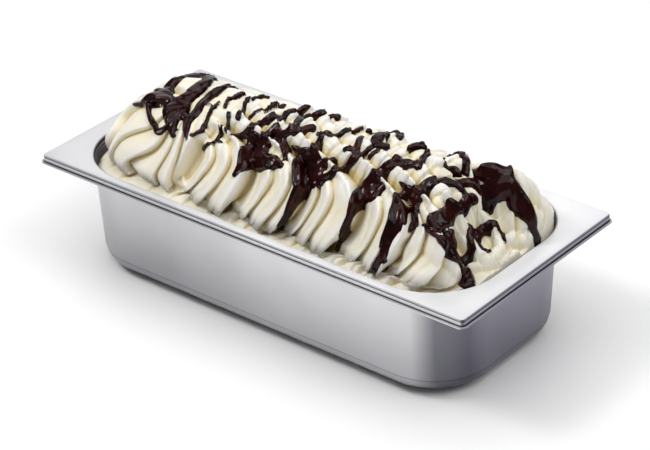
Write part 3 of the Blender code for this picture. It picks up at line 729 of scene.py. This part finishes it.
# Floor, sky and lights in metres and watts: name, place, size, power and colour of each light
FLOOR_HALF = 4.0
FLOOR_DROP = 0.0005
SKY_COLOR = (0.95, 0.96, 1.0, 1.0)
SKY_STRENGTH = 0.16
LIGHT_TARGET = (0.0, 0.0, 0.08)
LIGHTS = (
    ("key", (-0.65, -0.60, 1.25), 0.45, 8.5, (1.0, 0.99, 0.97)),
    ("back", (-0.85, 1.12, 0.95), 1.5, 9.0, (1.0, 1.0, 1.0)),
    ("fill", (1.00, 0.20, 1.20), 1.0, 8.0, (1.0, 1.0, 1.0)),
    ("top", (0.10, -0.20, 1.50), 1.8, 14.0, (1.0, 1.0, 1.0)),
)


def blur(values, sigma_round, sigma_out):
    """Smooth a grid that is closed round its columns and open along its rows."""
    for axis, sigma in ((0, sigma_round), (1, sigma_out)):
        reach = int(math.ceil(3 * sigma))
        steps = np.arange(-reach, reach + 1)
        weights = np.exp(-0.5 * (steps / sigma) ** 2)
        weights /= weights.sum()
        mode = "wrap" if axis == 0 else "edge"
        widths = [(0, 0)] * values.ndim
        widths[axis] = (reach, reach)
        padded = np.pad(values, widths, mode=mode)
        count = values.shape[axis]
        total = np.zeros_like(values)
        for step, weight in enumerate(weights):
            part = padded[step : step + count] if axis == 0 else padded[:, step : step + count]
            total += weight * part
        values = total
    return values


def smooth(piece):
    """The piece with all its faces shaded smooth."""
    polygons = piece.data.polygons
    polygons.foreach_set("use_smooth", [True] * len(polygons))
    return piece


def grid_piece(name, points, kept, **values):
    """A piece from the kept cells of a grid, joined along the spine, with values on its points."""
    columns, rows = points.shape[:2]
    ids = np.arange(columns * rows).reshape(columns, rows)
    # The near side, the right end, the back and the left end take a quarter of the columns each
    quarter = columns // 4
    column = np.arange(columns)
    on_spine = np.select(
        [column < quarter, column < 2 * quarter, column < 3 * quarter],
        [column, quarter, 3 * quarter - column],
        default=0,
    )
    ids[:, 0] = ids[on_spine, 0]
    beside = np.roll(ids, -1, 0)
    quads = np.stack([ids[:, :-1], ids[:, 1:], beside[:, 1:], beside[:, :-1]], -1)[kept]
    used, renumbered = np.unique(quads, return_inverse=True)
    quads = renumbered.reshape(quads.shape).tolist()
    faces = [(a, b, c) if a == d else (a, b, c, d) for a, b, c, d in quads]
    data = bpy.data.meshes.new(name)
    data.from_pydata((points.reshape(-1, 3)[used] * MM).tolist(), [], faces)
    for key, value in values.items():
        attribute = data.attributes.new(key, "FLOAT", "POINT")
        attribute.data.foreach_set("value", value.reshape(-1)[used].astype(np.float32))
    data.update()
    return smooth(bpy.data.objects.new(name, data))


def under_top(points):
    """The points with heights eased to stay below the top of the solids."""
    top = cad_box[1][2] / MM
    over = np.maximum(points[..., 2] - (top - TOP_EASE), 0.0)
    eased = points.copy()
    eased[..., 2] += TOP_EASE * (1.0 - np.exp(-over / TOP_EASE)) - over
    return eased


def under_coat(points, cover):
    """The bed of the chocolate, smoothed most where the chocolate is widest, and its normals."""
    off_spine = smooth_step(0.0, 0.1, np.linspace(0.0, 1.0, points.shape[1]))[None, :, None]
    level = mix(points, blur(points, *LEVEL_BLUR), off_spine)
    filled = mix(points, blur(points, *FILLED_BLUR), off_spine)
    most = mix(FILLED_SHARE, HUMP_FILLED_SHARE, smooth_step(*HUMP_START, points[..., 0]))
    bed = mix(points, level, smooth_step(*LEVEL_COVER, cover)[..., None])
    bed = mix(bed, filled, (most * smooth_step(*FILLED_COVER, cover))[..., None])
    turned = smooth_step(*NORMAL_COVER, cover)[..., None]
    return bed, unit(mix(grid_normals(points), grid_normals(filled), turned))


def gelato_piece(points, cover, bed, bed_normal):
    """The mound's skin, sunk under the chocolate, with its foot inside the pan."""
    soft = blur(points, *HOLLOW_SHADE_BLUR)
    # How deep each point lies in a hollow, for the painted shade in the gelato's colour
    hollow = ((soft - points) * grid_normals(soft)).sum(-1)
    sunk = bed - bed_normal * GELATO_SINK
    skin = under_top(mix(points, sunk, smooth_step(*SINK_COVER, cover)[..., None]))
    foot = skin[:, -1:].copy()
    foot[..., 2] = PAN_HEIGHT - MOUND_FOOT
    keep_inside(foot, FOOT_INSET)
    skin = np.concatenate([skin, foot], axis=1)
    hollow = np.concatenate([hollow, hollow[:, -1:]], axis=1)
    kept = np.ones((SKIN_COLUMNS, SKIN_ROWS), bool)
    return grid_piece("gelato_mound", skin, kept, hollow=hollow)


def filling_piece():
    """The gelato below the rim."""
    top = PAN_HEIGHT - FILL_DROP
    sections = [(*opening_size(top, CLEARANCE), top)] + wall_sections(CLEARANCE)
    return ring_loft("gelato_filling", sections, True)


def drizzle_piece(points, cover, bed, bed_normal):
    """The chocolate: a coat over its bed, on the covered cells alone."""
    film = COAT_DEPTH * np.sqrt(smooth_step(*DEPTH_COVER, cover)) - COAT_OFFSET
    film = film - EDGE_TUCK * smooth_step(*TUCK_COVER, cover)
    ridge = np.maximum(((points - bed) * bed_normal).sum(-1), 0.0)
    shown = mix(EDGE_RIDGES, WIDE_RIDGES, smooth_step(*WIDE_COVER, cover)) * ridge
    coat = under_top(bed + bed_normal * (film + shown)[..., None])
    covered = cover > LEAST_COVER
    cell = covered & np.roll(covered, -1, 0)
    return grid_piece("chocolate_drizzle", coat, cell[:, :-1] & cell[:, 1:])


def fine_pan():
    """The pan with finer bends."""
    sheet = ring_loft("pan_sheet", pan_sections(), False)
    bpy.context.scene.collection.objects.link(sheet)
    solidify = sheet.modifiers.new("thickness", "SOLIDIFY")
    solidify.thickness = SHEET * MM
    solidify.offset = 1.0
    solidify.use_even_offset = True
    graph = bpy.context.evaluated_depsgraph_get()
    data = bpy.data.meshes.new_from_object(sheet.evaluated_get(graph))
    bpy.data.objects.remove(sheet)
    data.name = "steel_pan"
    pan = smooth(bpy.data.objects.new("steel_pan", data))
    data.set_sharp_from_angle(angle=math.radians(SHARP_ANGLE))
    return pan


def set_inputs(tree, made, **inputs):
    """Set or link inputs of a node, named with underscores for spaces."""
    for key, value in inputs.items():
        socket = made.inputs[key.replace("_", " ")]
        if isinstance(value, bpy.types.NodeSocket):
            tree.links.new(value, socket)
        else:
            socket.default_value = value


def node(tree, kind, settings=None, **inputs):
    """A node with its settings and inputs."""
    made = tree.nodes.new(kind)
    for key, value in (settings or {}).items():
        setattr(made, key, value)
    set_inputs(tree, made, **inputs)
    return made


def noise(tree, place, scale, detail, roughness=0.5):
    """Soft noise over a place."""
    kind = "ShaderNodeTexNoise"
    made = node(tree, kind, Vector=place, Scale=scale, Detail=detail, Roughness=roughness)
    return made.outputs["Fac"]


def spread(tree, value, source=(0.0, 1.0), result=(0.0, 1.0)):
    """A value carried from a source range to a result range."""
    made = node(tree, "ShaderNodeMapRange", Value=value)
    set_inputs(tree, made, From_Min=source[0], From_Max=source[1])
    set_inputs(tree, made, To_Min=result[0], To_Max=result[1])
    return made.outputs["Result"]


def part_of(tree, vector, axis):
    """One part of a vector."""
    return node(tree, "ShaderNodeSeparateXYZ", Vector=vector).outputs[axis]


def bump(tree, height, strength, distance):
    """The normal of a surface with a fine relief."""
    made = node(tree, "ShaderNodeBump", Strength=strength, Distance=distance, Height=height)
    return made.outputs["Normal"]


def ramp(tree, factor, stops):
    """Colours along a value."""
    made = node(tree, "ShaderNodeValToRGB", Fac=factor)
    elements = made.color_ramp.elements
    while len(elements) < len(stops):
        elements.new(0.5)
    for element, (place, color) in zip(elements, stops):
        element.position = place
        element.color = (*color, 1.0)
    return made.outputs["Color"]


def new_material(name):
    """A material with its node tree, its shader and the place on the piece."""
    material = bpy.data.materials.new(name)
    material.use_nodes = True
    tree = material.node_tree
    place = node(tree, "ShaderNodeTexCoord").outputs["Object"]
    return material, tree, tree.nodes["Principled BSDF"], place


def gelato_material():
    """White gelato with painted shade, darker and yellower, in its hollows, and a fine grain."""
    material, tree, shader, place = new_material("vanilla_gelato")
    hollow = node(tree, "ShaderNodeAttribute", {"attribute_name": "hollow"}).outputs["Fac"]
    cloud = noise(tree, place, scale=70.0, detail=3.0)
    # Painted shade: the deeper the hollow, the darker and yellower the colour; the noise adds
    # random tone
    depth = spread(tree, hollow, source=HOLLOW_SHADE_RANGE)
    shade = node(tree, "ShaderNodeMath", {"operation": "MULTIPLY_ADD"})
    tree.links.new(cloud, shade.inputs[0])
    shade.inputs[1].default_value = CLOUD_SHARE
    tree.links.new(depth, shade.inputs[2])
    grain = noise(tree, place, scale=1400.0, detail=4.0, roughness=0.6)
    set_inputs(
        tree,
        shader,
        Base_Color=ramp(tree, shade.outputs["Value"], GELATO_TONE_AND_HOLLOW_SHADE),
        Normal=bump(tree, grain, strength=0.12, distance=0.0006),
        Roughness=spread(tree, cloud, result=GELATO_ROUGHNESS),
        Subsurface_Weight=0.5,
        Subsurface_Radius=(1.0, 0.75, 0.45),
        Subsurface_Scale=0.0025,
        IOR=1.38,
    )
    return material


def chocolate_material():
    """Glossy, nearly black sauce."""
    material, tree, shader, place = new_material("dark_chocolate_sauce")
    cloud = noise(tree, place, scale=110.0, detail=3.0)
    wave = noise(tree, place, scale=260.0, detail=2.0)
    set_inputs(
        tree,
        shader,
        Base_Color=ramp(tree, cloud, CHOCOLATE_COLORS),
        Roughness=spread(tree, cloud, result=CHOCOLATE_ROUGHNESS),
        Normal=bump(tree, wave, strength=0.05, distance=0.001),
        Specular_IOR_Level=0.2,
    )
    return material


def steel_material():
    """Brushed steel, with painted shade and reflections along the pan's height, on faces that turn
    to +X and along the pan.
    """
    material, tree, shader, place = new_material("brushed_stainless_steel")
    stretched = node(tree, "ShaderNodeMapping", Vector=place, Scale=BRUSH_STRETCH)
    brush = noise(tree, stretched.outputs["Vector"], scale=1.0, detail=3.0)
    cloud = noise(tree, place, scale=14.0, detail=2.0)
    normal = node(tree, "ShaderNodeNewGeometry").outputs["Normal"]
    half = PAN_LENGTH * MM / 2
    level = spread(tree, part_of(tree, place, "Z"), source=(0.0, PAN_HEIGHT * MM))
    along = spread(tree, part_of(tree, place, "X"), source=(-half, half))
    color = ramp(tree, cloud, STEEL_COLORS)
    # Painted shade and reflections multiplied into the steel's colour: by height, by turn to +X
    # and along the pan
    for factor, painted_shades in (
        (level, HEIGHT_PAINTED_SHADE),
        (part_of(tree, normal, "X"), TURN_PAINTED_SHADE),
        (along, LENGTH_PAINTED_SHADE),
    ):
        painted_shade = node(tree, "ShaderNodeVectorMath", {"operation": "MULTIPLY"})
        tree.links.new(color, painted_shade.inputs[0])
        tree.links.new(ramp(tree, factor, painted_shades), painted_shade.inputs[1])
        color = painted_shade.outputs["Vector"]
    upward = part_of(tree, normal, "Z")
    metallic = (UPRIGHT_METALLIC, FLAT_METALLIC)
    set_inputs(
        tree,
        shader,
        Base_Color=color,
        Roughness=spread(tree, brush, result=STEEL_ROUGHNESS),
        Normal=bump(tree, brush, strength=0.10, distance=0.0002),
        Metallic=spread(tree, upward, source=(FLAT_START, 1.0), result=metallic),
    )
    return material


def floor_material():
    """Plain pale floor."""
    material, tree, shader, place = new_material("pale_floor")
    cloud = noise(tree, place, scale=3.0, detail=2.0)
    color = ramp(tree, cloud, FLOOR_COLORS)
    set_inputs(tree, shader, Base_Color=color, Roughness=0.9, Specular_IOR_Level=0.1)
    return material


def show(piece, material, replaced):
    """Put a piece in the scene on the frame, in place of a node."""
    bpy.context.scene.collection.objects.link(piece)
    piece.data.materials.append(material)
    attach(piece, "root")
    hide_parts(replaced)


def make_floor():
    """A floor just below the pan."""
    mesh = bmesh.new()
    bmesh.ops.create_grid(mesh, x_segments=8, y_segments=8, size=FLOOR_HALF)
    data = bpy.data.meshes.new("floor")
    mesh.to_mesh(data)
    mesh.free()
    data.materials.append(floor_material())
    floor = bpy.data.objects.new("floor", data)
    floor.location = (0.0, 0.0, -FLOOR_DROP)
    bpy.context.scene.collection.objects.link(floor)


def make_camera():
    """The camera, set by its target, its turn round it and its distance from it."""
    azimuth = math.radians(CAMERA_AZIMUTH)
    elevation = math.radians(CAMERA_ELEVATION)
    roll = math.radians(CAMERA_ROLL)
    level = math.cos(elevation)
    back = Vector((math.sin(azimuth) * level, -math.cos(azimuth) * level, math.sin(elevation)))
    flat_right = Vector((0.0, 0.0, 1.0)).cross(back).normalized()
    flat_up = back.cross(flat_right)
    right = flat_right * math.cos(roll) + flat_up * math.sin(roll)
    up = flat_up * math.cos(roll) - flat_right * math.sin(roll)
    matrix = Matrix((right, up, back)).transposed().to_4x4()
    matrix.translation = (Vector(CAMERA_TARGET) + back * CAMERA_DISTANCE) * MM
    data = bpy.data.cameras.new("camera")
    data.lens = CAMERA_LENS
    data.sensor_width = SENSOR_WIDTH
    camera = bpy.data.objects.new("camera", data)
    camera.matrix_world = matrix
    bpy.context.scene.collection.objects.link(camera)
    bpy.context.scene.camera = camera


def make_light():
    """A dim sky and soft lights aimed at the mound."""
    world = bpy.data.worlds.new("studio")
    world.use_nodes = True
    background = world.node_tree.nodes["Background"]
    background.inputs["Color"].default_value = SKY_COLOR
    background.inputs["Strength"].default_value = SKY_STRENGTH
    bpy.context.scene.world = world
    for name, place, size, power, color in LIGHTS:
        data = bpy.data.lights.new(name, "AREA")
        data.size = size
        data.energy = power
        data.color = color
        light = bpy.data.objects.new(name, data)
        light.location = place
        aim = Vector(LIGHT_TARGET) - Vector(place)
        light.rotation_euler = aim.to_track_quat("-Z", "Y").to_euler()
        bpy.context.scene.collection.objects.link(light)


def build():
    """Build the pieces, the floor, the camera and the light."""
    show(fine_pan(), steel_material(), "pan")
    points, cover = mound_grid(SKIN_COLUMNS, SKIN_ROWS)
    bed, bed_normal = under_coat(points, cover)
    vanilla = gelato_material()
    show(gelato_piece(points, cover, bed, bed_normal), vanilla, "gelato")
    show(filling_piece(), vanilla, "gelato")
    drizzle = drizzle_piece(points, cover, bed, bed_normal)
    show(drizzle, chocolate_material(), "gelato")
    make_floor()
    make_camera()
    make_light()
    bpy.context.scene.view_settings.view_transform = "Standard"


build()
